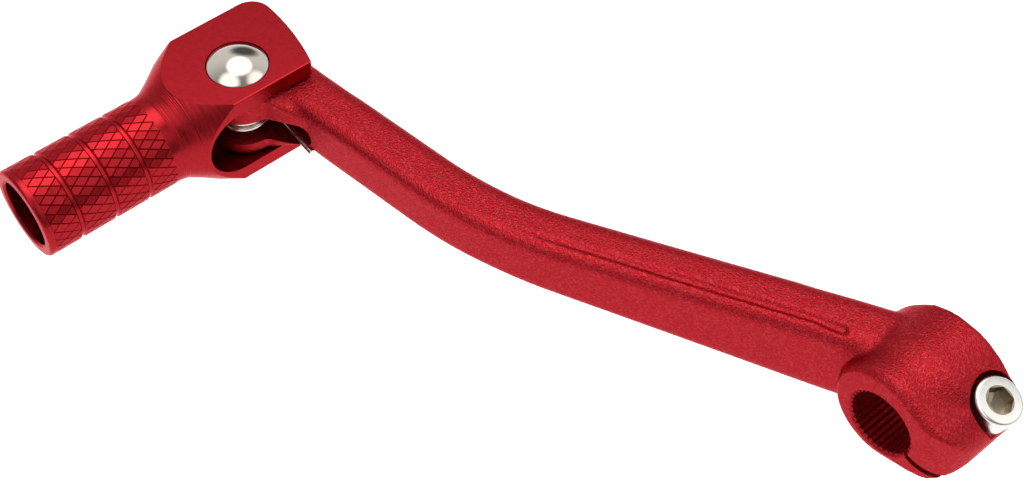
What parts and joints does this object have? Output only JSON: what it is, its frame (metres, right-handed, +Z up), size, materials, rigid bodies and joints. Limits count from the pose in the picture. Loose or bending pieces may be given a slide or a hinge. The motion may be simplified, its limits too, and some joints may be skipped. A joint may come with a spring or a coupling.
{
  "type": "gear shift lever",
  "caption": "Cranked foot shift lever with a split splined clamp boss, pinch bolt, and a spring-return folding knurled toe peg on a domed pivot pin.",
  "frame": {"origin": "on the axis of the splined bore, halfway through the clamp boss", "axes": "+Y along the splined bore, outboard, away from the engine; +X square to it towards the toe tip; +Z up along the tip's pivot pin"},
  "size_m": [0.1769, 0.119, 0.0292],
  "materials": {
    "arm_anodised": "red anodised over a fine bead blast",
    "tip_anodised": "red anodised over a satin turned surface",
    "polished_steel": "mirror polished stainless steel",
    "spring_steel": "bright drawn wire",
    "bolt_steel": "bright zinc plated"
  },
  "bodies": {
    "arm": {"lever_arm": "arm_anodised", "clamp_boss": "arm_anodised", "pinch_bolt": "bolt_steel", "return_spring": "spring_steel"},
    "tip": {"toe_tip": "tip_anodised", "pivot_pin": "polished_steel", "pin_washer": "bolt_steel", "retaining_clip": "spring_steel"}
  },
  "joints": [
    {"name": "tip_fold", "type": "hinge", "parent": "arm", "child": "tip", "pos_m": [0.144, 0.0555, -0.001], "axis": [0, 0, 1], "range_deg": [0, 70], "stiffness_Nm_per_rad": 0.35, "springref_deg": -28.65, "deforming": ["return_spring"]}
  ]
}
